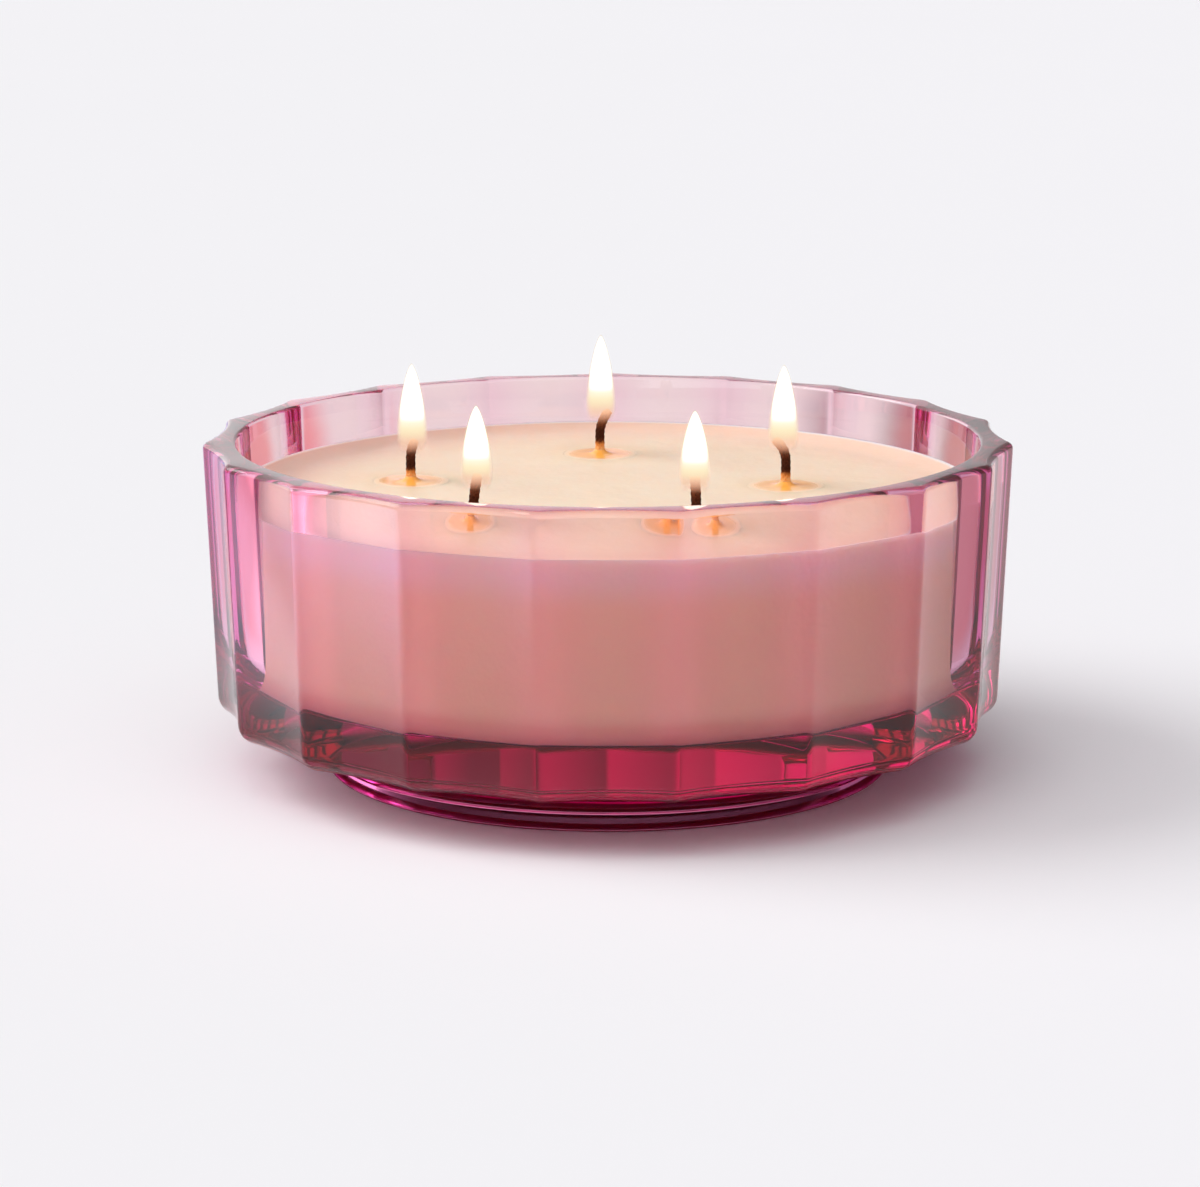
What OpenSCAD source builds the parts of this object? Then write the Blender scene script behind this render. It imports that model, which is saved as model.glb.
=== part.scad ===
// Container candle with a ring of lit wicks in a low, fluted bowl of tinted pressed glass.
// Millimetres, +Z up. The origin is the centre of the foot on the table, and the front faces -Y.
// The bowl stands on its foot, the wax fills the bowl, and each wick stands in a metal sustainer
// that is stuck to the inside floor before the wax is poured.

/* [Bowl] */
// Height of the bowl from the table to the top of the rim
bowl_height = 74; // [60:0.5:110]
// Radius over the ridges at the rim
rim_radius = 90; // [75:0.5:130]
// Thickness of the wall behind a ridge
wall = 7.4; // [6:0.1:12]
// Lean of the wall out from the vertical, in degrees
wall_draft = 2.3; // [0:0.1:4]
// Height of the inside floor above the table
floor_height = 22; // [17:0.5:30]
// Radius of the corner between the inside floor and the wall
floor_round = 10; // [3:0.5:13]
// Radius of the outer edge of the rim at a ridge
rim_round = 1.6; // [0.5:0.1:3]
// Radius of the inner edge of the rim
lip_round = 0.8; // [0.3:0.1:1]

/* [Flutes] */
// Number of hollow flutes round the wall
flute_count = 19; // [15:1:23]
// Depth of a flute below the circle of the ridges
flute_depth = 2.5; // [2:0.1:4.5]
// Width of the ridge between two flutes, at the rim
ridge_width = 1; // [0.6:0.1:4]

/* [Foot] */
// Distance of the foot's edge in from the ridges, at the underside of the fluted body
foot_inset = 24.2; // [20:0.1:35]
// Height of the upright edge of the foot
foot_lip = 3; // [1.5:0.1:5]
// Radius of the bottom edge of the foot
foot_edge = 0.8; // [0.3:0.1:1.4]
// Height of the underside of the fluted body above the table
heel_height = 11.8; // [9:0.1:14]
// Radius of the rounded lower edge of the fluted body
heel_round = 4.5; // [2:0.1:5.5]
// Width of the flat ring under the foot that the bowl stands on
bearing_width = 11.3; // [6:0.1:20]
// Depth of the hollow inside that ring
recess_depth = 6.2; // [1:0.1:8]

/* [Wax] */
// Depth of the wax surface below the rim
wax_drop = 12.5; // [8:0.5:25]
// Rise of the wax where it clings to the glass
wax_climb = 1.7; // [0.5:0.1:3]
// Width of that rising edge
wax_climb_width = 8; // [3:0.5:12]
// Radius of the melted pool round each wick
pool_radius = 8.5; // [4:0.5:12]
// Depth of a pool beside its wick
pool_depth = 1.5; // [0.6:0.1:4]
// Depth of a pool at its outer edge
pool_edge = 0.3; // [0.2:0.05:0.5]

/* [Wicks] */
// Diameter of a braided wick
wick_diameter = 2.3; // [1.6:0.1:3.2]
// Distance of the ring of wicks from the inside wall
wick_inset = 34; // [24:0.5:40]
// Turn of the ring of wicks about the bowl's axis, in degrees
wick_turn = -3; // [-36:1:36]
// Radius of the disc of a wick sustainer
sustainer_radius = 10; // [6:0.5:13]
// Sheet thickness of a sustainer
sustainer_sheet = 0.4; // [0.2:0.05:0.8]
// Height of the crimped neck above the sustainer's disc
neck_height = 6; // [3:0.5:9]
// Thickness of the neck round the wick
neck_wall = 0.6; // [0.3:0.1:1.2]
// Radius of the adhesive disc under a sustainer
adhesive_radius = 9.5; // [5:0.5:12]
// Thickness of the adhesive disc
adhesive_thickness = 0.8; // [0.4:0.1:1.6]

/* [Flames] */
// Radius of a flame at its widest
flame_radius = 3.5; // [3:0.1:5]
// How far a flame laps down round its wick
flame_lap = 4.5; // [3:0.1:6]

/* [Hidden] */
$fn = 64;

// Clearance between pieces that are cast, crimped or stuck round each other
fit_gap = 0.05;
// Clearance between a flame and its wick
flame_gap = 0.2;

// One entry per wick, the back one first and then anticlockwise seen from above.
// How far each wick sits from its even place in the ring
wick_drift = [[-4.3, 0.5], [-1.2, -4.5], [0.4, -5.5], [-6.5, -6], [-4.9, -5.5]];
// Height of each wick's tip above the wax
wick_stand = [10.2, 9.4, 11.5, 11.5, 10.5];
// Direction in which each tip curls, in degrees from +X
curl_heading = [0, 0, 0, 180, 180];
// Radius of each tip's curl
curl_radius = [8.5, 10.5, 58, 150, 6];
// Angle of each tip's curl
curl_angle = [42, 25, 11.4, 4, 55];
// Height of each flame's point above the tip of its wick
flame_rise = [18, 17.5, 15, 14.5, 17];
// How far each flame stands from its wick's foot, towards the curl of the tip
flame_lean = [0.2, 0.4, 0.9, 0.4, 0.6];

wick_count = len(wick_drift);
wick_r = wick_diameter / 2;
wax_z = bowl_height - wax_drop;
adhesive_top = floor_height + adhesive_thickness;
disc_top = adhesive_top + sustainer_sheet;
neck_top = disc_top + neck_height;
neck_r = wick_r + fit_gap + neck_wall;

// Radius of the wall's outside, over the ridges, and of its inside at a height
function outer_r(z) = rim_radius - (bowl_height - z) * tan(wall_draft);
function inner_r(z) = outer_r(z) - wall;

foot_radius = outer_r(heel_height) - foot_inset;
bearing_inner_r = foot_radius - foot_edge - bearing_width;
cove_radius = heel_height - foot_lip;

// The flute is an arc that runs from ridge to ridge through its own deepest point
flute_half_angle = 180 / flute_count - ridge_width / 2 / rim_radius * 180 / PI;
flute_half_chord = rim_radius * sin(flute_half_angle);
flute_sagitta = rim_radius * cos(flute_half_angle) - (rim_radius - flute_depth);
flute_radius = (flute_half_chord ^ 2 + flute_sagitta ^ 2) / (2 * flute_sagitta);
// Length of a flute cutter past the bowl at each end
overrun = 5;

wick_ring = inner_r(floor_height) - wick_inset;
function ring_angle(i) = 90 + wick_turn + 360 / wick_count * (i - 1);
function wick_spot(i) = wick_ring * [cos(ring_angle(i)), sin(ring_angle(i))] + wick_drift[i - 1];

function numbered(name) = [for (i = [1:wick_count]) str(name, "_", i)];

// Points of an arc about a centre
arc_steps = 6;
function arc(centre, radius, from, to) =
    [for (k = [0:arc_steps]) let (a = from + (to - from) * k / arc_steps)
        centre + radius * [cos(a), sin(a)]];

// Centre of an arc that touches the leaning wall from its inner side, at a height
function wall_arc_centre(wall_r, z, radius) = [wall_r - radius / cos(wall_draft), z];

// Outside of the bowl: hollow underside, foot, cove, heel, leaning wall and rim
function bowl_outline() =
    let (heel_z = heel_height + heel_round, rim_z = bowl_height - rim_round)
    concat(
        [[0, recess_depth]],
        arc([bearing_inner_r - recess_depth, 0], recess_depth, 90, 0),
        arc([foot_radius - foot_edge, foot_edge], foot_edge, -90, 0),
        arc([foot_radius + cove_radius, foot_lip], cove_radius, 180, 90),
        arc(wall_arc_centre(outer_r(heel_z), heel_z, heel_round), heel_round, -90, -wall_draft),
        arc(wall_arc_centre(outer_r(rim_z), rim_z, rim_round), rim_round, -wall_draft, 90),
        [[0, bowl_height]]
    );

// Corner of the inside floor, drawn in by a gap for the wax that fills it
function floor_corner(gap) =
    let (corner_z = floor_height + floor_round)
    arc(wall_arc_centre(inner_r(corner_z), corner_z, floor_round),
        floor_round - gap, -90, -wall_draft);

// Inside of the bowl, open above the rim
function cavity_outline() =
    let (lip_z = bowl_height - lip_round,
         lip_centre = [inner_r(lip_z) + lip_round / cos(wall_draft), lip_z])
    concat(
        [[0, floor_height]],
        floor_corner(0),
        arc(lip_centre, lip_round, 180 - wall_draft, 90),
        [[lip_centre[0], bowl_height + overrun], [0, bowl_height + overrun]]
    );

// Poured wax: flat in the middle, rising where it clings to the glass
function wax_outline() =
    let (edge_z = wax_z + wax_climb, edge_r = inner_r(edge_z) - fit_gap / cos(wall_draft))
    concat(
        [[0, floor_height + fit_gap]],
        floor_corner(fit_gap),
        [for (k = [0:arc_steps]) let (t = k / arc_steps)
            [edge_r - wax_climb_width * t, wax_z + wax_climb * (1 - t) ^ 2]],
        [[0, wax_z]]
    );

// Underside of a melted pool, from its edge in to its wick, lowered by a gap
function pool_floor(gap) =
    [for (k = [0:arc_steps]) let (t = 1 - k / arc_steps)
        [max(pool_radius * t, wick_r) + gap,
         wax_z - gap - pool_edge - (pool_depth - pool_edge) * (1 - t ^ 2)]];

// Room in the wax for one adhesive disc, sustainer, wick and pool
function wick_room() =
    let (adhesive_room = adhesive_radius + fit_gap,
         disc_room = sustainer_radius + fit_gap,
         neck_room = neck_r + fit_gap,
         pool_room = pool_radius + fit_gap,
         pool = pool_floor(fit_gap))
    concat(
        [[0, floor_height - overrun], [adhesive_room, floor_height - overrun],
         [adhesive_room, adhesive_top], [disc_room, adhesive_top],
         [disc_room, disc_top + fit_gap], [neck_room, disc_top + fit_gap],
         [neck_room, neck_top + fit_gap], [wick_r + fit_gap, neck_top + fit_gap]],
        [for (k = [arc_steps:-1:0]) pool[k]],
        [[pool_room, wax_z + overrun], [0, wax_z + overrun]]
    );

module glass_bowl() {
    flute_axis_r = rim_radius - flute_depth + flute_radius;
    cut_length = bowl_height + 2 * overrun;
    color("#b8476b", 0.6)
    difference() {
        rotate_extrude() polygon(bowl_outline());
        for (i = [1:flute_count])
            rotate([0, 0, 90 + 360 / flute_count * (i - 0.5)])
                translate([flute_axis_r, 0, bowl_height])
                    rotate([0, wall_draft, 0])
                        translate([0, 0, overrun - cut_length])
                            cylinder(r = flute_radius, h = cut_length);
        rotate_extrude() polygon(cavity_outline());
    }
}

module wax_fill() {
    color("#f7dcc2")
    difference() {
        rotate_extrude() polygon(wax_outline());
        for (i = [1:wick_count])
            translate(wick_spot(i)) rotate_extrude() polygon(wick_room());
    }
}

module adhesive_disc(i) {
    color("#e9e3d2")
    translate([wick_spot(i)[0], wick_spot(i)[1], floor_height])
        cylinder(r = adhesive_radius, h = adhesive_thickness);
}

module sustainer(i) {
    bore_r = wick_r + fit_gap;
    color("#b9bcc0")
    translate(wick_spot(i))
        rotate_extrude()
            polygon([[bore_r, adhesive_top], [sustainer_radius, adhesive_top],
                     [sustainer_radius, disc_top], [neck_r, disc_top],
                     [neck_r, neck_top], [bore_r, neck_top]]);
}

// A wick, thickened by a clearance where another piece makes room for it
module wick_body(i, grow) {
    bend_r = curl_radius[i - 1];
    bend_z = wax_z + wick_stand[i - 1] - bend_r * sin(curl_angle[i - 1]);
    translate(wick_spot(i)) {
        translate([0, 0, adhesive_top]) cylinder(r = wick_r + grow, h = bend_z - adhesive_top);
        translate([0, 0, bend_z])
            rotate([0, 0, curl_heading[i - 1]])
                translate([bend_r, 0, 0])
                    rotate([90, 0, 180])
                        rotate_extrude(angle = curl_angle[i - 1])
                            translate([bend_r, 0]) circle(r = wick_r + grow);
    }
}

module wick(i) {
    color("#3a2620") wick_body(i, 0);
}

module melt_pool(i) {
    color("#f5c58f", 0.7)
    translate(wick_spot(i))
        rotate_extrude()
            polygon(concat(
                [[wick_r + fit_gap, wax_z], [pool_radius, wax_z]],
                [for (p = pool_floor(0)) [max(p[0], wick_r + fit_gap), p[1]]]
            ));
}

// Outline of a flame: full just above its foot, then drawn in to a point
flame_steps = 14;
foot_power = 0.12;
point_power = 0.5;
belly_at = foot_power / (foot_power + point_power);
function flame_swell(t) = t ^ foot_power * (1 - t) ^ point_power;

module flame(i) {
    tip_z = wax_z + wick_stand[i - 1];
    low_z = tip_z - flame_lap;
    length = flame_lap + flame_rise[i - 1];
    heading = curl_heading[i - 1];
    axis = wick_spot(i) + flame_lean[i - 1] * [cos(heading), sin(heading)];
    color("#ffd27a", 0.7)
    difference() {
        translate([axis[0], axis[1], low_z])
            rotate_extrude()
                polygon([for (k = [0:flame_steps]) let (t = k / flame_steps)
                    [flame_radius * flame_swell(t) / flame_swell(belly_at), length * t]]);
        wick_body(i, flame_gap);
    }
}

glass_bowl();
wax_fill();
for (i = [1:wick_count]) {
    adhesive_disc(i);
    sustainer(i);
    wick(i);
    melt_pool(i);
    flame(i);
}
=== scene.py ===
# %% [markdown]
# # A candle with a ring of wicks in a fluted glass bowl
# This lesson dresses a measured model of a lit container candle. The measured pieces are loaded first
# as a fixed frame. Each step after that models one kind of piece as it could be made by hand, gives it
# a finish, and names the measured piece that it stands for.

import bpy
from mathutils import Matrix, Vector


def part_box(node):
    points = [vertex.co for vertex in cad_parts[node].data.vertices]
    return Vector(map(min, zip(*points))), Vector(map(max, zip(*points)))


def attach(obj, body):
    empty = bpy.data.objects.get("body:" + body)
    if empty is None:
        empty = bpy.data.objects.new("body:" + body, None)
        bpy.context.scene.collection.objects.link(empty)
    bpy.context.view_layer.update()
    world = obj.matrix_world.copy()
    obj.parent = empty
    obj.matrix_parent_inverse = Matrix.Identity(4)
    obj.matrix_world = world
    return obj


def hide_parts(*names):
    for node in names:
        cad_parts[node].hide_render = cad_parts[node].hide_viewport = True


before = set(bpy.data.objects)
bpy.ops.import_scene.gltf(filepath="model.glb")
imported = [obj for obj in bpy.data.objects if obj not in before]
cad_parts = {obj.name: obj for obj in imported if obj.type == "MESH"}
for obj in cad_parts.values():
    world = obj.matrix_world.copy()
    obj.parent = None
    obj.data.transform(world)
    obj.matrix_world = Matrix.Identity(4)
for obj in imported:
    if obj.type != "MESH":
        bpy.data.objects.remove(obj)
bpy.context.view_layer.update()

# %% [markdown]
# ## Sizes
# Every length is in metres, so a millimetre gets its own name. Places that the frame knows, such as
# where each wick stands, are read from it. The section of the bowl is written out here again, because
# the frame holds finished surfaces and not the dimensions behind them.

# %% Sizes
import math

import bpy
from mathutils import Vector

mm = 0.001
bowl_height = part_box("glass_bowl")[1].z
rim_radius = 90 * mm
wall = 7.4 * mm
wall_slope = math.tan(math.radians(2.3))
floor_height = 22 * mm
wax_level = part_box("melt_pool_1")[1].z
wick_numbers = range(1, 6)


def outer_radius(z):
    """Radius over the ridges at a height."""
    return rim_radius - (bowl_height - z) * wall_slope


def inner_radius(z):
    """Radius of the smooth inside of the wall at a height."""
    return outer_radius(z) - wall


def middle(node):
    """Middle of a measured piece, seen from above."""
    low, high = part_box(node)
    return Vector(((low.x + high.x) / 2, (low.y + high.y) / 2, 0))


wick_spots = [middle(f"melt_pool_{i}") for i in wick_numbers]
print("wicks stand at", [tuple(round(c / mm, 1) for c in spot.xy) for spot in wick_spots], "mm")

# %% [markdown]
# ## Camera
# The camera comes early, because every later step is judged through it. A long lens from nearly a metre
# away, looking a little down, keeps the far rim almost as wide as the near one.

# %% Camera
camera_height = 229.3 * mm
camera_distance = 881.8 * mm
look_down = math.radians(12.24)
look_left = math.radians(0.114)

lens = bpy.data.cameras.new("view_camera")
lens.sensor_width = 36
lens.lens = 120.4
camera = bpy.data.objects.new("view_camera", lens)
camera.location = (0, -camera_distance, camera_height)
camera.rotation_euler = (math.pi / 2 - look_down, 0, look_left)
bpy.context.scene.collection.objects.link(camera)
bpy.context.scene.camera = camera
print("camera lens", lens.lens, "mm")

# %% [markdown]
# ## Hand tools
# Most of a candle is round, so most pieces start as half a section that is turned about the upright
# axis, as on a lathe. One vertex is dragged from point to point to draw the section, and the Spin
# operator turns it. Operators act on whatever is selected, so each tool lets go of everything first.

# %% Hand tools for turned pieces
seam = 0.001 * mm


def clear_selection():
    """Let go of everything, so that the next operator touches only what it makes."""
    if bpy.context.object and bpy.context.object.mode != "OBJECT":
        bpy.ops.object.mode_set(mode="OBJECT")
    bpy.ops.object.select_all(action="DESELECT")


def hold(piece):
    """Make one piece the only selected and active one."""
    clear_selection()
    piece.select_set(True)
    bpy.context.view_layer.objects.active = piece


def at(radius, z):
    """A point of a half section."""
    return Vector((radius, 0, z))


def arc(centre, radius, start, stop, steps=8):
    """Points round a centre, from one angle to another in degrees."""
    angles = [math.radians(start + (stop - start) * k / steps) for k in range(steps + 1)]
    return [centre + radius * at(math.cos(a), math.sin(a)) for a in angles]


def between(first, last, steps):
    """Points that cut a straight stretch into equal steps, without its two ends."""
    return [first.lerp(last, k / steps) for k in range(1, steps)]


def draw_section(name, points):
    """Drag one vertex from point to point to draw half a section."""
    clear_selection()
    bpy.ops.mesh.primitive_plane_add(size=mm)
    piece = bpy.context.object
    piece.name = piece.data.name = name
    bpy.ops.object.mode_set(mode="EDIT")
    bpy.ops.mesh.select_mode(type="VERT")
    bpy.ops.mesh.merge(type="CENTER")
    bpy.ops.transform.translate(value=points[0])
    for here, there in zip(points, points[1:]):
        bpy.ops.mesh.extrude_vertices_move(TRANSFORM_OT_translate={"value": there - here})
    bpy.ops.object.mode_set(mode="OBJECT")
    return piece


def turn(piece, columns):
    """Turn a section once about the upright axis, close its seam and poles, and face it outwards."""
    hold(piece)
    bpy.ops.object.mode_set(mode="EDIT")
    bpy.ops.mesh.select_all(action="SELECT")
    bpy.ops.mesh.spin(steps=columns, angle=math.tau, center=(0, 0, 0), axis=(0, 0, 1))
    bpy.ops.mesh.select_all(action="SELECT")
    bpy.ops.mesh.remove_doubles(threshold=seam)
    bpy.ops.mesh.normals_make_consistent(inside=False)
    bpy.ops.object.mode_set(mode="OBJECT")
    return piece


def pick(piece, wanted):
    """Go into edit mode with just the vertices that pass a test selected."""
    hold(piece)
    mesh = piece.data
    mesh.polygons.foreach_set("select", [False] * len(mesh.polygons))
    mesh.edges.foreach_set("select", [False] * len(mesh.edges))
    mesh.vertices.foreach_set("select", [bool(wanted(v)) for v in mesh.vertices])
    bpy.ops.object.mode_set(mode="EDIT")
    bpy.ops.mesh.select_mode(type="VERT")


def smooth(piece, degrees=35):
    """Shade a piece smooth, but keep edges sharper than an angle."""
    hold(piece)
    bpy.ops.object.shade_smooth_by_angle(angle=math.radians(degrees))


def copy_to(piece, name, spot):
    """Copy a piece with a mesh of its own, and put the new place into that mesh."""
    hold(piece)
    bpy.ops.object.duplicate(linked=False)
    twin = bpy.context.object
    twin.name = twin.data.name = name
    bpy.ops.transform.translate(value=spot)
    bpy.ops.object.transform_apply(location=True, rotation=False, scale=False)
    return twin


def discard(piece):
    """Remove a helper piece and its mesh."""
    bpy.data.meshes.remove(piece.data)


def stand_for(piece, node, finish):
    """Give a piece its finish, and let it ride the body and stand for a measured piece."""
    piece.data.materials.clear()
    piece.data.materials.append(finish)
    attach(piece, "root")
    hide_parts(node)


print("hand tools ready")

# %% [markdown]
# ## Shader arithmetic
# A material is a graph of nodes, and arithmetic in it soon becomes hard to read. A small class wraps a
# socket and overloads the usual operators, so that a line such as 1 - mask adds its own Math node. Any
# other node comes from one method, which takes the node's type, its settings and its inputs.

# %% Shader arithmetic
class Signal:
    """One output socket of a node. Arithmetic on it adds Math nodes beside it."""

    def __init__(self, graph, socket):
        self.graph = graph
        self.socket = socket

    def maths(self, operation, first, second):
        return self.graph.node("Math", {"operation": operation}, {0: first, 1: second})

    def __add__(self, other):
        return self.maths("ADD", self, other)

    def __sub__(self, other):
        return self.maths("SUBTRACT", self, other)

    def __rsub__(self, other):
        return self.maths("SUBTRACT", other, self)

    def __mul__(self, other):
        return self.maths("MULTIPLY", self, other)

    __radd__ = __add__
    __rmul__ = __mul__


class Graph:
    """A node tree that is being wired, of a material or of the world."""

    def __init__(self, owner):
        owner.use_nodes = True
        self.owner = owner
        self.tree = owner.node_tree
        self.tree.nodes.clear()

    def node(self, kind, settings=None, inputs=None, output=0):
        """Add a node, apply its settings, then set or link its inputs, and hand back one output."""
        made = self.tree.nodes.new("ShaderNode" + kind)
        for name, value in (settings or {}).items():
            if name == "stops":
                self.set_stops(made.color_ramp, value)
            else:
                setattr(made, name, value)
        for key, value in (inputs or {}).items():
            if isinstance(value, Signal):
                self.tree.links.new(value.socket, made.inputs[key])
            else:
                made.inputs[key].default_value = value
        return Signal(self, made.outputs[output])

    def set_stops(self, ramp, stops):
        """Lay out a ramp as (place, colour) pairs."""
        for place, colour in stops[1:-1]:
            ramp.elements.new(place)
        for element, (place, colour) in zip(ramp.elements, stops):
            element.position = place
            element.color = (*colour, 1)

    def place(self):
        """Where a point lies on the piece, in metres."""
        return self.node("TexCoord", output="Object")

    def attribute(self, name):
        """A number that the mesh carries at each vertex."""
        return self.node("Attribute", {"attribute_name": name}, output="Fac")

    def noise(self, size, detail=2.0, roughness=0.5, where=None):
        """Soft random blotches of about a given size."""
        return self.node("TexNoise", {}, {
            "Vector": where or self.place(), "Scale": 1 / size, "Detail": detail, "Roughness": roughness})

    def fade(self, value, start, stop, low=0.0, high=1.0):
        """A smooth step from one value to another."""
        return self.node("MapRange", {"interpolation_type": "SMOOTHSTEP"}, {
            "Value": value, "From Min": start, "From Max": stop, "To Min": low, "To Max": high})

    def blend(self, amount, first, second):
        """Mix two colours."""
        return self.node("Mix", {"data_type": "RGBA"}, {0: amount, 6: first, 7: second}, output=2)

    def below(self, value, limit):
        """One where a value is less than a limit, and nought elsewhere."""
        return self.node("Math", {"operation": "LESS_THAN"}, {0: value, 1: limit})

    def from_axis(self):
        """Distance of a point from the upright axis."""
        flat = self.node("VectorMath", {"operation": "MULTIPLY"}, {0: self.place(), 1: (1, 1, 0)})
        return self.node("VectorMath", {"operation": "LENGTH"}, {0: flat}, output="Value")

    def along(self, axis):
        """One coordinate of a point on the piece."""
        return self.node("SeparateXYZ", {}, {0: self.place()}, output=axis)

    def bump(self, height, depth, strength=1.0):
        """Turn a height into a surface tilt, with a depth in metres."""
        return self.node("Bump", {}, {"Height": height, "Distance": depth, "Strength": strength})

    def finish(self, surface, volume=None):
        """Wire the shader to the output and hand back what it belongs to."""
        links = {"Surface": surface}
        if volume:
            links["Volume"] = volume
        output = self.tree.nodes.new("ShaderNodeOutputMaterial")
        for name, signal in links.items():
            self.tree.links.new(signal.socket, output.inputs[name])
        return self.owner


def new_graph(name):
    """Start an empty material."""
    return Graph(bpy.data.materials.new(name))


print("shader arithmetic ready")

# %% [markdown]
# ## The bowl: section
# The real bowl is pressed in a mould: the outside has hollow flutes, the inside is smooth, and the base
# is thick. A section drawn from the underside, up the outside, over the rim and down to the inside floor
# makes a closed solid when it is turned, which glass needs, because light bends at both of its faces.

# %% Draw and turn the bowl
flute_count = 19
columns_per_flute = 40
columns = flute_count * columns_per_flute
foot_radius = 63.3 * mm
foot_edge = 0.8 * mm
foot_lip = 3 * mm
bearing_inner = 51.2 * mm
recess_depth = 6.2 * mm
heel_height = 11.8 * mm
heel_round = 4.5 * mm
rim_round = 1.6 * mm
lip_round = 0.8 * mm
floor_round = 10 * mm
draft_degrees = math.degrees(math.atan(wall_slope))

cove = heel_height - foot_lip
heel_z = heel_height + heel_round
rim_z = bowl_height - rim_round
lip_z = bowl_height - lip_round
corner_z = floor_height + floor_round
under_side = (
    [at(0, recess_depth), at(bearing_inner / 2, recess_depth)]
    + arc(at(bearing_inner - recess_depth, 0), recess_depth, 90, 0, 8)
    + between(at(bearing_inner, 0), at(foot_radius - foot_edge, 0), 6)
    + arc(at(foot_radius - foot_edge, foot_edge), foot_edge, -90, 0, 5)
    + arc(at(foot_radius + cove, foot_lip), cove, 180, 90, 10)
)
heel = arc(at(outer_radius(heel_z) - heel_round, heel_z), heel_round, -90, -draft_degrees, 10)
rim = arc(at(outer_radius(rim_z) - rim_round, rim_z), rim_round, -draft_degrees, 90, 8)
outside = heel + between(heel[-1], rim[0], 6) + rim
lip = arc(at(inner_radius(lip_z) + lip_round, lip_z), lip_round, 90, 180 - draft_degrees, 6)
corner = arc(at(inner_radius(corner_z) - floor_round, corner_z), floor_round, -draft_degrees, -90, 10)
inside = lip + between(lip[-1], corner[0], 6) + corner
inside += [at(corner[-1].x / 2, floor_height), at(0, floor_height)]

bowl = draw_section("fluted_bowl", under_side + outside + inside)
first_fluted = len(under_side)
bowl.vertex_groups.new(name="fluted").add(range(first_fluted, first_fluted + len(outside)), 1, "ADD")
turn(bowl, columns)
print("bowl turned with", len(bowl.data.polygons), "faces")

# %% [markdown]
# ## The bowl: flutes
# Each flute is a shallow arc from ridge to ridge. Its mould was cut by a round tool, so the hollow is
# part of a large circle, and two hollows meet in a crisp ridge. Here every upright column of vertices on
# the outside is drawn in towards the axis by the Resize operator, as far as that circle says.

# %% Press the flutes
flute_depth = 2.5 * mm
ridge_width = 0.7 * mm
ridge_soft = 0.2 * mm

half_angle = math.pi / flute_count - ridge_width / 2 / rim_radius
sagitta = rim_radius * math.cos(half_angle) - (rim_radius - flute_depth)
flute_radius = ((rim_radius * math.sin(half_angle)) ** 2 + sagitta ** 2) / (2 * sagitta)
flute_axis = rim_radius - flute_depth + flute_radius


def fluted_radius(angle):
    """Distance of the outside from the axis, at an angle from the middle of a flute."""
    aside = flute_axis * math.sin(angle)
    hollow = flute_axis * math.cos(angle) - math.sqrt(flute_radius ** 2 - aside ** 2)
    soften = max(ridge_soft - abs(hollow - rim_radius), 0) / ridge_soft
    return min(hollow, rim_radius) - soften ** 2 * ridge_soft / 4


def columns_from_ridge(vertex):
    """How many columns a vertex lies from the nearest ridge, where one ridge points at +Y."""
    turned = math.atan2(vertex.co.x, vertex.co.y) / math.tau * columns
    past = round(turned) % columns_per_flute
    return min(past, columns_per_flute - past)


fluted = bowl.vertex_groups["fluted"].index
for step in range(columns_per_flute // 2 + 1):
    drawn_in = fluted_radius(math.pi / flute_count - step * math.tau / columns) / rim_radius
    pick(bowl, lambda v: any(g.group == fluted for g in v.groups) and columns_from_ridge(v) == step)
    bpy.ops.transform.resize(value=(drawn_in, drawn_in, 1), center_override=(0, 0, 0))
smooth(bowl, 50)
print("flutes pressed, deepest", round(flute_depth / mm, 2), "mm")

# %% [markdown]
# ## Tinted glass
# The colour is in the glass and not on it, so a thin wall looks pale and the thick base deep. That is
# what Volume Absorption does: light loses a share of each colour for every millimetre that it crosses.
# Pressed glass is never quite flat, so a slow ripple bends reflections. The ring it stands on is duller,
# because it rubs on tables. Where wax sticks to the wall no air lies between them, so light bends there
# by the ratio of the two indices, and the mask for that has the extent of the wax in it.

# %% Tinted glass finish
glass = new_graph("tinted_glass")
ripple = glass.noise(22 * mm, detail=1.0)
height = glass.along("Z")
worn_foot = glass.fade(height, 0.2 * mm, 0.8 * mm, 1.0, 0.0)
smears = glass.noise(9 * mm, detail=4.0)
wax_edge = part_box("wax_fill")[1].z
stuck_width = 71 * mm
sideways = glass.node("Math", {"operation": "ABSOLUTE"}, {0: glass.along("X")})
on_inside = glass.below(glass.from_axis(), inner_radius(floor_height) + wall_slope * height + mm)
in_wax = glass.below(height, wax_edge) * glass.below(floor_height - mm, height)
stuck = on_inside * in_wax * glass.below(sideways, stuck_width)


def clear_glass(bend):
    """Clear glass that bends light by a given index."""
    return glass.node("BsdfPrincipled", {}, {
        "Base Color": (0.97, 0.94, 0.83, 1),
        "Roughness": 0.015 + 0.02 * smears + 0.05 * worn_foot,
        "IOR": bend,
        "Transmission Weight": 1.0,
        "Normal": glass.bump(ripple, 0.12 * mm),
    })


glass_index = 1.5
wax_index = 1.44
surface = glass.node("MixShader", {}, {
    0: stuck, 1: clear_glass(glass_index), 2: clear_glass(glass_index / wax_index)})
tint = glass.node("VolumeAbsorption", {}, {"Color": (0.88, 0.02, 0.63, 1), "Density": 50.0})
glass_finish = glass.finish(surface, tint)
stand_for(bowl, "glass_bowl", glass_finish)
print("glass finish has", len(glass.tree.nodes), "nodes")

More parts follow.
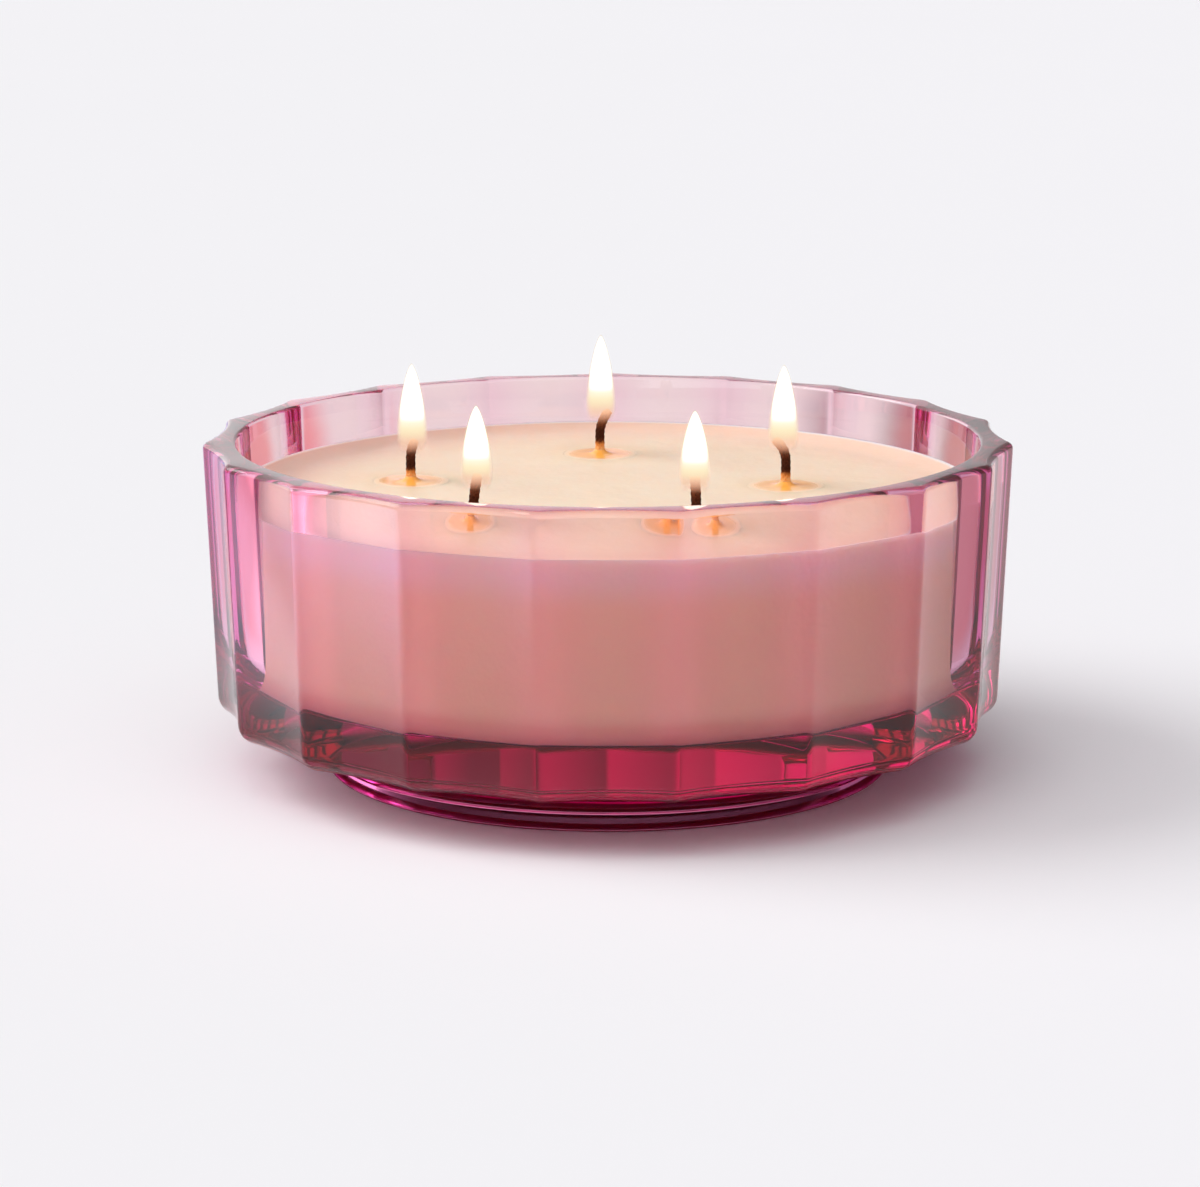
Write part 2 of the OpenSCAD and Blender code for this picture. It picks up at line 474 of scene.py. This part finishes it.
# %% [markdown]
# ## The wax: one poured body
# Hot wax is poured round the standing wicks and climbs a little at the wall. As it cools it shrinks, and
# here it has let go of the glass at the two sides. The film of air there mirrors the tinted wall, which
# gives the streaks near the edges. A turned section gives the body, a hair smaller than the bowl, and a
# turned cutter with a Boolean modifier then clears the room for each wick, its clip and its melted pool.

# %% Pour the wax
shrinkage = 0.08 * mm
wax_climb = wax_edge - wax_level
wax_climb_width = 8 * mm
wax_columns = 240
climb_steps = 10


def wax_corner():
    """The rounded lower edge of the wax, a hair inside the glass."""
    centre = at(inner_radius(corner_z) - floor_round, corner_z)
    return arc(centre, floor_round - shrinkage, -90, -draft_degrees, 8)


def wax_brim():
    """The brim where wax clings to the wall, from the wall in to the flat top."""
    reach = inner_radius(wax_edge) - shrinkage
    shares = [k / climb_steps for k in range(climb_steps + 1)]
    return [at(reach - wax_climb_width * t, wax_level + wax_climb * (1 - t) ** 2) for t in shares]


brim = wax_brim()
wax = draw_section("poured_wax", (
    [at(0, floor_height + shrinkage)] + wax_corner() + brim
    + between(brim[-1], at(0, wax_level), 5) + [at(0, wax_level)]))
turn(wax, wax_columns)
print("wax poured to", round(wax_level / mm, 1), "mm, with", len(wax.data.polygons), "faces")

# %% [markdown]
# ## The wax: room for the wicks
# The cutter follows, from below, the sticky disc, the metal clip with its neck, the wick and the shallow
# dish of the pool. It is modelled once, copied to each wick and removed when its cut is made.

# %% Cut the room for the wicks
clearance = 0.05 * mm
pool_radius = (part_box("melt_pool_1")[1].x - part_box("melt_pool_1")[0].x) / 2
pool_depth = wax_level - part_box("melt_pool_1")[0].z
pool_edge = 0.3 * mm
wick_radius = 1.15 * mm
disc_radius = (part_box("adhesive_disc_1")[1].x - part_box("adhesive_disc_1")[0].x) / 2
disc_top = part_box("adhesive_disc_1")[1].z
clip_radius = (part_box("sustainer_1")[1].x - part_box("sustainer_1")[0].x) / 2
clip_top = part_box("sustainer_1")[1].z
sheet = 0.4 * mm
neck_radius = wick_radius + clearance + 0.6 * mm
overrun = 5 * mm


def pool_dish(gap, steps=8):
    """Underside of a pool from its wick out to its edge."""
    shares = [k / steps for k in range(steps + 1)]
    start = wick_radius + gap
    reach = pool_radius + gap - start
    drop = pool_depth - pool_edge
    return [at(start + reach * t, wax_level - gap - pool_edge - drop * (1 - t ** 2)) for t in shares]


room = (
    [at(0, floor_height - overrun), at(disc_radius + clearance, floor_height - overrun)]
    + [at(disc_radius + clearance, disc_top), at(clip_radius + clearance, disc_top)]
    + [at(clip_radius + clearance, disc_top + sheet + clearance)]
    + [at(neck_radius + clearance, disc_top + sheet + clearance)]
    + [at(neck_radius + clearance, clip_top + clearance), at(wick_radius + clearance, clip_top + clearance)]
    + pool_dish(clearance)
    + [at(pool_radius + clearance, wax_level + overrun), at(0, wax_level + overrun)]
)
cutter = turn(draw_section("wick_room", room), 48)
for i, spot in zip(wick_numbers, wick_spots):
    local_cutter = copy_to(cutter, f"wick_room_{i}", spot)
    hold(wax)
    cut = wax.modifiers.new("room", "BOOLEAN")
    cut.operation = "DIFFERENCE"
    cut.solver = "EXACT"
    cut.object = local_cutter
    bpy.ops.object.modifier_apply(modifier=cut.name)
    discard(local_cutter)
discard(cutter)
smooth(wax)
print("wax has", len(wax.data.polygons), "faces after the cuts")

# %% [markdown]
# ## Wax finish
# Candle wax is a cream solid that light soaks into and leaves again a few millimetres away, which
# Subsurface does. Crystals that grow as it cools leave faint clouds, and its skin is slightly uneven.
# Where it cooled against the glass it is paler, with a frosted band at the top of the wall. The open top
# has a painted glow of flame light round each wick, and a painted shadow of the wall that darkens it
# towards the wall, most of all on the left.

# %% Wax finish
wax_graph = new_graph("candle_wax")
clouds = wax_graph.noise(14 * mm, detail=4.0, roughness=0.6)
specks = wax_graph.noise(1.6 * mm, detail=2.0)
cream = wax_graph.blend(wax_graph.fade(clouds, 0.3, 0.75), (0.97, 0.71, 0.52, 1), (0.95, 0.67, 0.48, 1))
wax_height = wax_graph.along("Z") - wax_level
wax_radius = wax_graph.from_axis()
to_wall = inner_radius(wax_level) + wall_slope * wax_height - wax_radius
on_side = wax_graph.fade(to_wall, 0.3 * mm, 1.2 * mm, 1.0, 0.0)
on_top = (1 - on_side) * wax_graph.fade(wax_height, -1 * mm, -0.2 * mm)
frost = on_side * wax_graph.fade(wax_height, -10 * mm, -1 * mm)
# Painted shadow of the glass wall on the open top: darker towards the wall, most of all on the left.
painted_wall_shadow = on_top * wax_graph.fade(wax_radius, 60 * mm, 80 * mm)
painted_left_shadow = painted_wall_shadow * wax_graph.fade(wax_graph.along("X"), -60 * mm, -25 * mm, 1.0, 0.0)
# Painted glow of flame light on the open top, round each wick.
warm_reach = 18 * mm
painted_flame_glow = 0.0
for spot in wick_spots:
    distance = wax_graph.node("VectorMath", {"operation": "DISTANCE"}, {
        0: wax_graph.place(), 1: (spot.x, spot.y, wax_level)}, output="Value")
    painted_flame_glow = painted_flame_glow + wax_graph.fade(distance, 5 * mm, warm_reach, 1.0, 0.0)
cream = wax_graph.blend(on_side, cream, (0.97, 0.76, 0.57, 1))
cream = wax_graph.blend(0.8 * frost, cream, (0.97, 0.87, 0.84, 1))
# The painted shadow darkens the top towards the wall, and the painted glow warms it round each wick.
cream = wax_graph.blend(0.45 * painted_wall_shadow + 0.4 * painted_left_shadow, cream, (0.80, 0.55, 0.44, 1))
cream = wax_graph.blend(0.45 * painted_flame_glow * on_top, cream, (0.98, 0.62, 0.35, 1))
skin = wax_graph.noise(6 * mm, detail=3.0) + 0.15 * specks
surface = wax_graph.node("BsdfPrincipled", {}, {
    "Base Color": cream,
    "Roughness": 0.38 + 0.2 * specks,
    "IOR": wax_index,
    "Subsurface Weight": 1.0,
    "Subsurface Radius": (1.0, 0.75, 0.6),
    "Subsurface Scale": 2.0 * mm,
    "Normal": wax_graph.bump(skin, 0.25 * mm),
})
wax_finish = wax_graph.finish(surface)
stand_for(wax, "wax_fill", wax_finish)
print("wax finish has", len(wax_graph.tree.nodes), "nodes")

# %% [markdown]
# ## Pools of melted wax
# Each flame melts a shallow dish of clear liquid round its wick. Liquid climbs what it wets, so the pool
# curls up against the wick and rounds over at its edge. One pool is turned and copied to every wick.

# %% Melt the pools
meniscus = 1.0 * mm
meniscus_reach = 1.6 * mm
pool_lip = 0.03 * mm
lip_reach = 2 * mm
pool_columns = 64


def pool_top(steps=14):
    """Surface of a pool from its edge, level with the wax, in to its wick."""
    radii = [pool_radius + (wick_radius - pool_radius) * k / steps for k in range(steps + 1)]
    lips = [pool_lip * math.sin(math.pi / 2 * min((pool_radius - r) / lip_reach, 1)) for r in radii]
    climbs = [meniscus * math.exp(-(r - wick_radius) / meniscus_reach * 2) for r in radii]
    return [at(r, wax_level + lip + climb) for r, lip, climb in zip(radii, lips, climbs)]


def write_attribute(piece, name, value_at):
    """Let a mesh carry a number at each vertex, worked out from the vertex's place."""
    layer = piece.data.attributes.new(name, "FLOAT", "POINT")
    layer.data.foreach_set("value", [value_at(v.co) for v in piece.data.vertices])


section = pool_dish(0) + pool_top()
pool = turn(draw_section("melted_pool", section + section[:1]), pool_columns)
write_attribute(pool, "from_wick", lambda co: co.xy.length / pool_radius)
smooth(pool, 60)
print("one pool has", len(pool.data.polygons), "faces")

# %% [markdown]
# ## Melted wax finish
# Melted wax is clear and amber, with a wet shine, and the cream wax under it sends the light back up. So
# a pool is a little more orange where it is deep, and has just the colour of the wax at its thin edge.

# %% Melted wax finish
melt = new_graph("melted_wax")
from_wick = melt.attribute("from_wick")
drift = melt.noise(5 * mm, detail=2.0)
deep = melt.fade(from_wick, 0.15, 0.7, 1.0, 0.0)
thin = melt.fade(from_wick + 0.2 * (drift - 0.5), 0.65, 1.0)
amber = melt.blend(deep, (0.97, 0.48, 0.11, 1), (0.97, 0.42, 0.07, 1))
surface = melt.node("BsdfPrincipled", {}, {
    "Base Color": melt.blend(thin, amber, (0.97, 0.70, 0.48, 1)),
    "Roughness": 0.06 + 0.05 * drift + 0.35 * thin,
    "IOR": wax_index,
    "Normal": melt.bump(drift, 0.1 * mm),
})
melt_finish = melt.finish(surface)
for i, spot in zip(wick_numbers, wick_spots):
    stand_for(copy_to(pool, f"melted_pool_{i}", spot), f"melt_pool_{i}", melt_finish)
discard(pool)
print("melted wax finish has", len(melt.tree.nodes), "nodes")

# %% [markdown]
# ## Sticky discs
# Before the pour, each wick clip is stuck to the floor with a dab of hot-melt glue. A dab squeezed flat
# has a bulging edge, which is an arc in its section.

# %% Press the sticky discs
dab_bulge = (disc_top - floor_height) / 2
dab_columns = 48
dab_edge = arc(at(disc_radius - dab_bulge, floor_height + dab_bulge), dab_bulge, -90, 90, 8)
dab_middle = disc_radius / 2
dab = turn(draw_section("sticky_disc", (
    [at(0, floor_height), at(dab_middle, floor_height)] + dab_edge
    + [at(dab_middle, disc_top), at(0, disc_top)])), dab_columns)
smooth(dab)

glue = new_graph("wick_adhesive")
bubbles = glue.node("TexVoronoi", {}, {"Vector": glue.place(), "Scale": 1 / (1.4 * mm)}, output="Distance")
pale = glue.blend(glue.noise(3 * mm), (0.84, 0.80, 0.70, 1), (0.74, 0.69, 0.57, 1))
surface = glue.node("BsdfPrincipled", {}, {
    "Base Color": pale,
    "Roughness": 0.5 + 0.2 * bubbles,
    "Normal": glue.bump(bubbles, 0.1 * mm),
})
glue_finish = glue.finish(surface)
for i, spot in zip(wick_numbers, wick_spots):
    stand_for(copy_to(dab, f"sticky_disc_{i}", spot), f"adhesive_disc_{i}", glue_finish)
discard(dab)
print("sticky discs pressed")

# %% [markdown]
# ## Wick clips
# A wick clip is stamped from thin plated sheet: a disc with a raised ring that stiffens it, and a drawn
# neck that is crimped on the wick. The crimp is four dents, made by resizing those columns of the neck.

# %% Stamp the wick clips
clip_columns = 48
clip_bore = wick_radius + clearance
bead = 0.35 * mm
bead_at = 0.62 * clip_radius
bead_width = 1.6 * mm
neck_flare = 0.5 * mm
sheet_top = disc_top + sheet


def bead_line(base, turn_back):
    """The raised ring of the disc, from inside to outside or back."""
    spread = [k / 8 for k in range(9)]
    points = [at(bead_at + bead_width * (t - 0.5), base + bead * math.sin(math.pi * t)) for t in spread]
    return points[::-1] if turn_back else points


clip_section = (
    [at(clip_bore, disc_top)] + bead_line(disc_top, False)
    + arc(at(clip_radius - sheet / 2, disc_top + sheet / 2), sheet / 2, -90, 90, 4)
    + bead_line(sheet_top, True)
    + arc(at(neck_radius + neck_flare, sheet_top + neck_flare), neck_flare, 270, 180, 5)
    + between(at(neck_radius, sheet_top + neck_flare), at(neck_radius, clip_top), 8)
    + arc(at((neck_radius + clip_bore) / 2, clip_top - 0.3 * mm), 0.3 * mm, 0, 180, 4)
    + between(at(clip_bore, clip_top - 0.3 * mm), at(clip_bore, disc_top), 6)
)
clip = turn(draw_section("wick_clip", clip_section + clip_section[:1]), clip_columns)
crimp_low = sheet_top + 1.5 * mm
crimp_high = clip_top - 1.5 * mm
crimp = 0.93


def in_crimp(vertex):
    """True on the outside of the neck, at four places round it."""
    side = math.atan2(vertex.co.y, vertex.co.x) / math.tau * 4
    outside_neck = neck_radius - seam < vertex.co.xy.length < neck_radius + seam
    return outside_neck and crimp_low < vertex.co.z < crimp_high and abs(side - round(side)) < 0.2


pick(clip, in_crimp)
bpy.ops.transform.resize(value=(crimp, crimp, 1), center_override=(0, 0, 0))
smooth(clip)

plate = new_graph("sustainer_metal")
brushing = plate.node("TexNoise", {}, {
    "Vector": plate.node("Mapping", {}, {"Vector": plate.place(), "Scale": (1, 12, 12)}),
    "Scale": 1 / (4 * mm), "Detail": 3.0})
spangle = plate.node("TexVoronoi", {}, {"Vector": plate.place(), "Scale": 1 / (2.2 * mm)}, output="Color")
zinc = plate.blend(plate.node("RGBToBW", {}, {0: spangle}), (0.55, 0.56, 0.58, 1), (0.70, 0.71, 0.73, 1))
surface = plate.node("BsdfPrincipled", {}, {
    "Base Color": zinc,
    "Metallic": 1.0,
    "Roughness": 0.25 + 0.25 * brushing,
    "Normal": plate.bump(brushing, 0.03 * mm),
})
plate_finish = plate.finish(surface)
for i, spot in zip(wick_numbers, wick_spots):
    stand_for(copy_to(clip, f"wick_clip_{i}", spot), f"sustainer_{i}", plate_finish)
discard(clip)
print("wick clips stamped")

# %% [markdown]
# ## Wicks: the braid
# A cotton wick is a round braid: six yarns wind one way and six the other, each passing over and under
# in turn. A yarn is drawn as a curve whose points follow that rule along the wick's bent middle line, a
# bevel makes it round, and Convert makes it a mesh. Twelve yarns and a core are joined into one wick.

# %% Braid the wicks
wick_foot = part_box("wick_1")[0].z
wick_stand = [10.2 * mm, 9.4 * mm, 11.5 * mm, 11.5 * mm, 10.5 * mm]
curl_side = [1, 1, 1, -1, -1]
curl_radius = [8.5 * mm, 10.5 * mm, 58 * mm, 150 * mm, 6 * mm]
curl_angle = [math.radians(a) for a in (42, 25, 11.4, 4, 55)]
tip_spread = [0.3, 0.3, 0.5, 1.15, 0.3]
tip_length = 1.0 * mm
yarns_each_way = 6
yarn_radius = 0.27 * mm
yarn_ring = 0.84 * mm
over_under = 0.03 * mm
braid_pitch = 8 * mm
yarn_step = 0.25 * mm
core_radius = 0.92 * mm


class MiddleLine:
    """The middle of one wick: straight up from its clip, then round its curl."""

    def __init__(self, index):
        self.spot = wick_spots[index]
        self.side = Vector((curl_side[index], 0, 0))
        self.radius = curl_radius[index]
        self.angle = curl_angle[index]
        self.spread = tip_spread[index]
        self.bend_z = wax_level + wick_stand[index] - self.radius * math.sin(self.angle)
        self.length = self.bend_z - wick_foot + self.radius * self.angle

    def frame_at(self, along):
        """Point, and the two directions across the wick, at a length along it."""
        straight = min(along, self.bend_z - wick_foot)
        bend = (along - straight) / self.radius
        lean = self.side * math.cos(bend) - Vector((0, 0, math.sin(bend)))
        point = self.spot + Vector((0, 0, wick_foot + straight))
        point += self.radius * (self.side * (1 - math.cos(bend)) + Vector((0, 0, math.sin(bend))))
        return point, lean, Vector((0, 1, 0))


def draw_curve(name, points, radius):
    """A round mesh along points."""
    clear_selection()
    bpy.ops.curve.primitive_nurbs_path_add()
    line = bpy.context.object
    line.name = name
    curve = line.data
    curve.splines.clear()
    spline = curve.splines.new("POLY")
    spline.points.add(len(points) - 1)
    spline.points.foreach_set("co", [c for p in points for c in (*p, 1)])
    curve.dimensions = "3D"
    curve.bevel_depth = radius
    curve.bevel_resolution = 1
    curve.use_fill_caps = True
    bpy.ops.object.convert(target="MESH")
    return bpy.context.object


def yarn_points(line, way, start):
    """A yarn that winds one way round the middle line, over and under the yarns of the other way."""
    steps = round(line.length / yarn_step)
    points = []
    for k in range(steps + 1):
        along = line.length * k / steps
        wound = math.tau * along / braid_pitch
        near_tip = max(along - line.length + tip_length, 0) / tip_length
        ring = yarn_ring + way * over_under * math.cos(yarns_each_way * wound)
        ring *= 1 + (line.spread - 1) * near_tip ** 2
        around = way * wound + start
        point, lean, across = line.frame_at(along)
        points.append(point + ring * (math.cos(around) * lean + math.sin(around) * across))
    return points


def join(pieces, name):
    """Join pieces into the first one."""
    hold(pieces[0])
    for piece in pieces[1:]:
        piece.select_set(True)
    bpy.ops.object.join()
    pieces[0].name = pieces[0].data.name = name
    return pieces[0]


def braid(index):
    """One wick as a core and its yarns."""
    line = MiddleLine(index)
    yarns = [draw_curve("core", [line.frame_at(line.length * k / 40)[0] for k in range(41)], core_radius)]
    for way in (1, -1):
        for yarn in range(yarns_each_way):
            start = math.tau * yarn / yarns_each_way
            yarns.append(draw_curve("yarn", yarn_points(line, way, start), yarn_radius))
    wick = join(yarns, f"braided_wick_{index + 1}")
    write_attribute(wick, "burnt", lambda co: (co.z - wax_level) / wick_stand[index])
    smooth(wick, 60)
    return wick


wicks = [braid(index) for index in range(len(wick_spots))]
print("each wick has about", len(wicks[0].data.polygons), "faces")

# %% [markdown]
# ## Charred cotton finish
# A burning wick shows its whole story along its length: amber where it is soaked with wax, black char
# above that, and a tip that glows a dull orange inside the flame. A ramp over the height tells it.

# %% Charred cotton finish
char = new_graph("cotton_wick")
mottle = char.noise(0.9 * mm, detail=3.0)
burnt = char.attribute("burnt") + 0.12 * (mottle - 0.5)
scorch = char.node("ValToRGB", {"stops": [
    (0.0, (0.98, 0.66, 0.36)), (0.12, (0.96, 0.54, 0.21)), (0.23, (0.72, 0.28, 0.07)),
    (0.31, (0.12, 0.030, 0.010)), (0.38, (0.045, 0.011, 0.004)), (0.60, (0.07, 0.017, 0.006)),
    (0.76, (0.18, 0.046, 0.014)), (0.90, (0.45, 0.14, 0.03)), (1.0, (0.80, 0.32, 0.08))]}, {0: burnt})
ember = char.node("ValToRGB", {"stops": [
    (0.0, (0, 0, 0)), (0.70, (0, 0, 0)), (0.90, (0.22, 0.07, 0.015)),
    (1.0, (0.50, 0.19, 0.045))]}, {0: burnt})
fibres = char.noise(0.25 * mm, detail=3.0)
surface = char.node("BsdfPrincipled", {}, {
    "Base Color": scorch,
    "Roughness": 0.55 + 0.35 * mottle,
    "Specular IOR Level": 0.1,
    "Emission Color": ember,
    "Emission Strength": 0.6,
    "Normal": char.bump(fibres, 0.08 * mm),
})
char_finish = char.finish(surface)
for i, wick in zip(wick_numbers, wicks):
    stand_for(wick, f"wick_{i}", char_finish)
print("charred cotton finish has", len(char.tree.nodes), "nodes")

# %% [markdown]
# ## Flames: nested veils
# A candle flame is glowing gas: clear round the wick, yellow above it, white in the body, with a soft
# edge. A few turned teardrops inside one another, each partly clear, add up to that soft edge from any
# side. Each vertex carries its height in the flame and how deep its veil lies, and the finish reads both.

# %% Shape the flames
veils = 5
inmost = 0.68
flame_columns = 40
flame_steps = 28
foot_power = 0.2
point_power = 0.67
tip_step_back = 0.18
foot_step_up = 0.06


def swell(t):
    """Width of a flame at a share of its height, before scaling."""
    return t ** foot_power * (1 - t) ** point_power


widest = swell(foot_power / (foot_power + point_power))


def flame_section(low, high, radius, share):
    """Half outline of one veil. Inner veils are slimmer, start higher and stop short of the tip."""
    start = low + (high - low) * foot_step_up * (1 - share)
    stop = high - (high - low) * tip_step_back * (1 - share)
    heights = [(1 - math.cos(math.pi * k / flame_steps)) / 2 for k in range(flame_steps + 1)]
    return [at(radius * share * swell(t) / widest, start + (stop - start) * t) for t in heights]


def shape_flame(index):
    """One flame as nested veils."""
    low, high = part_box(f"flame_{index + 1}")
    radius = (high.x - low.x) / 2
    layers = []
    for k in range(veils):
        depth = k / (veils - 1)
        share = 1 - (1 - inmost) * depth
        veil = turn(draw_section("veil", flame_section(low.z, high.z, radius, share)), flame_columns)
        write_attribute(veil, "depth", lambda co: depth)
        write_attribute(veil, "rise", lambda co: (co.z - low.z) / (high.z - low.z))
        layers.append(veil)
    flame = join(layers, f"flame_body_{index + 1}")
    hold(flame)
    bpy.ops.transform.translate(value=middle(f"flame_{index + 1}"))
    bpy.ops.object.transform_apply(location=True, rotation=False, scale=False)
    smooth(flame, 80)
    return flame


flames = [shape_flame(index) for index in range(len(wick_spots))]
print("each flame has", len(flames[0].data.polygons), "faces in", veils, "veils")

# %% [markdown]
# ## Flame finish
# The veils give light and let light through. Alpha grows with height, so the wick's tip shows at the
# foot, and with depth, so that the edge stays soft. The colour runs from peach through yellow to white.

# %% Flame finish
fire = new_graph("flame")
rise = fire.attribute("rise")
depth = fire.attribute("depth")
body = fire.node("ValToRGB", {"stops": [
    (0.0, (0.19, 0.10, 0.07)), (0.20, (0.19, 0.125, 0.088)), (0.26, (0.195, 0.16, 0.10)),
    (0.32, (0.20, 0.19, 0.118)), (0.39, (0.23, 0.225, 0.18)), (0.46, (0.50, 0.47, 0.40)),
    (0.60, (1.0, 0.94, 0.78)), (1.0, (1.0, 0.91, 0.74))]}, {0: rise})
edge = fire.node("ValToRGB", {"stops": [
    (0.0, (0.19, 0.12, 0.088)), (0.3, (0.20, 0.155, 0.115)), (1.0, (0.20, 0.165, 0.125))]}, {0: rise})
edge_cover = 0.2
core_cover = 0.46
foot_cover = 0.005
solid = fire.fade(rise, 0.04, 0.34)
cover = (edge_cover + core_cover * depth) * (foot_cover + (1 - foot_cover) * solid)
surface = fire.node("BsdfPrincipled", {}, {
    "Base Color": (0, 0, 0, 1),
    "Roughness": 1.0,
    "Specular IOR Level": 0.0,
    "Emission Color": fire.blend(fire.fade(depth, 0.0, 0.7), edge, body),
    "Emission Strength": 5.0,
    "Alpha": cover,
})
fire_finish = fire.finish(surface)
for i, flame in zip(wick_numbers, flames):
    stand_for(flame, f"flame_{i}", fire_finish)
print("flame finish has", len(fire.tree.nodes), "nodes")

# %% [markdown]
# ## Table
# The candle stands on a plain pale sweep, and a wide plane does for that. It lies a hair below the foot,
# because glass on a table touches it in a few points only.

# %% Table
table_size = 14
table_gap = 0.05 * mm
clear_selection()
bpy.ops.mesh.primitive_plane_add(size=table_size)
table = bpy.context.object
table.name = "pale_table"
bpy.ops.object.mode_set(mode="EDIT")
bpy.ops.mesh.subdivide(number_cuts=3)
bpy.ops.transform.translate(value=(0, 0, -table_gap))
bpy.ops.object.mode_set(mode="OBJECT")
print("table is", table_size, "m wide")

# %% [markdown]
# ## Table finish
# A matt, faintly uneven white keeps the soft shadow and the pink light that falls through the glass. Glass
# mirrors the table round it. In what glass reflects, a dark red painted shade lies on the table under its
# heel, and the table glows with painted light, cool and bright on the left out of the picture. What shows
# through the glass at either side glows with painted light too, redder and dimmer on the right. The camera
# sees the table with painted light that lifts its shadow, more on the left than on the right. The Light
# Path node tells these rays apart. It counts a ray that goes through glass as glossy too, so a mirrored
# ray is one that is glossy but not transmitted.

# %% Table finish
heel_shade = 24 * mm
open_light = 0.9
front_loss = 0.25
mirrored_lamp = 2.4
clear_lamp = 1.6
right_loss = 0.35
white = (0.985, 0.98, 1.0, 1)

paper = new_graph("pale_table")
mist = paper.noise(0.4, detail=2.0)
from_candle = paper.from_axis()
ray_kinds = ("Is Glossy Ray", "Is Transmission Ray", "Is Camera Ray")
glossy_ray, clear_ray, camera_ray = [paper.node("LightPath", output=kind) for kind in ray_kinds]
mirror_ray = glossy_ray * (1 - clear_ray)
# Painted shade: a dark red on the table under the heel, seen only in glossy rays.
painted_heel_shade = paper.fade(from_candle, foot_radius, foot_radius + heel_shade, 1.0, 0.0) * glossy_ray
pale = paper.blend(mist, (0.935, 0.925, 0.945, 1), (0.925, 0.915, 0.935, 1))
matt = paper.node("BsdfDiffuse", {}, {"Color": paper.blend(painted_heel_shade, pale, (0.16, 0.03, 0.05, 1))})
across = paper.along("X")
along_view = paper.along("Y")
left_side = paper.fade(across, -0.3, -0.08, 1.0, 0.0)
sideways = paper.node("Math", {"operation": "ABSOLUTE"}, {0: across})
beside = paper.fade(sideways, 0.12, 0.19)
right_side = paper.fade(across, 0.08, 0.16)
in_front = paper.fade(along_view, -0.14, -0.06, 1.0, 0.0)
# Painted light: the table glows for glass rays, brightest in a patch on the left, cool in reflections.
lamp_patch = left_side * paper.fade(along_view, -0.30, -0.18) * paper.fade(along_view, 0.0, 0.1, 1.0, 0.0)
mirrored_light = open_light * (1 - front_loss * in_front) + mirrored_lamp * lamp_patch
cool = paper.blend(left_side * mirror_ray, white, (0.93, 0.88, 1.28, 1))
painted_table_glow = paper.node("Emission", {}, {
    "Color": paper.blend(beside * clear_ray, cool, (1.0, 0.50, 0.52, 1)),
    "Strength": open_light + (mirrored_light - open_light) * mirror_ray
    + (clear_lamp * lamp_patch - right_loss * right_side) * clear_ray})
outside = paper.fade(from_candle, 0.09, 0.14) * glossy_ray
# Painted light that the camera sees on the table, lifting its shadow, more on the left than the right.
painted_lift_share = paper.fade(across, -0.04, 0.1, 0.36, 0.16)
painted_shadow_lift = painted_lift_share * paper.fade(from_candle, 0.08, 0.11) * camera_ray
table.data.materials.append(paper.finish(paper.node("MixShader", {}, {
    0: outside + painted_shadow_lift, 1: matt, 2: painted_table_glow})))
print("table finish has", len(paper.tree.nodes), "nodes")

# %% [markdown]
# ## Light: the room
# A pale room gives most of the light, above all from high in front and from the left, so the shadow stays
# close under the heel. The camera sees the room as a plain pale background. The thick base of the bowl
# looks up behind the candle, where the room is bright on the left and dim on the right, so its flutes
# differ.

# %% Room light
room_light = 1.0
low_light = 0.12
from_front = 2
from_left = 0.8
background = 0.89
seen_level = 1.1
seen_in_front = 1.5
seen_slope = 2.8
dimmest = 0.42

world = bpy.data.worlds.new("white_room")
bpy.context.scene.world = world
air = Graph(world)
right, back, up = [air.node("SeparateXYZ", {}, {0: air.node("TexCoord", output="Generated")}, output=axis)
                   for axis in "XYZ"]
glossy_ray, clear_ray, camera_ray = [air.node("LightPath", output=kind) for kind in ray_kinds]


def larger(first, second):
    """The larger of two values."""
    return air.node("Math", {"operation": "MAXIMUM"}, {0: first, 1: second})


room = room_light * (low_light + up * up * larger(1 - from_front * back - from_left * right, 0))
behind = larger(back, 0)
mirrored = background * (seen_level + seen_in_front * larger(0 - back, 0) - seen_slope * right * behind)
by_glass = larger(glossy_ray, clear_ray)
lit = room + (larger(mirrored, dimmest) - room) * by_glass
glow = air.node("Background", {}, {
    "Color": white, "Strength": lit + (background - lit) * camera_ray})
output = air.tree.nodes.new("ShaderNodeOutputWorld")
air.tree.links.new(glow.socket, output.inputs["Surface"])
print("room light", room_light, "and background", background)

# %% [markdown]
# ## Light: the lamp
# One broad soft lamp on the left throws the shadow to the right. A sun lamp with a wide angle has a soft
# edge to its shadow. Light bounces many times in thick glass before it leaves, so the limits go up.

# %% Lamp and bounces
lamp_strength = 1.7
lamp_angle = math.radians(45)
lamp_from = Vector((-1.0, 0.12, 0.8))
glass_bounces = 32
mirror_bounces = 8

lamp = bpy.data.lights.new("soft_lamp", "SUN")
lamp.energy = lamp_strength
lamp.angle = lamp_angle
lamp_object = bpy.data.objects.new("soft_lamp", lamp)
lamp_object.location = lamp_from
lamp_object.rotation_euler = lamp_from.to_track_quat("Z", "Y").to_euler()
bpy.context.scene.collection.objects.link(lamp_object)

scene = bpy.context.scene
scene.view_settings.view_transform = "Standard"
scene.cycles.transparent_max_bounces = glass_bounces
scene.cycles.max_bounces = glass_bounces
scene.cycles.transmission_bounces = glass_bounces
scene.cycles.glossy_bounces = mirror_bounces
print("lamp strength", lamp_strength)
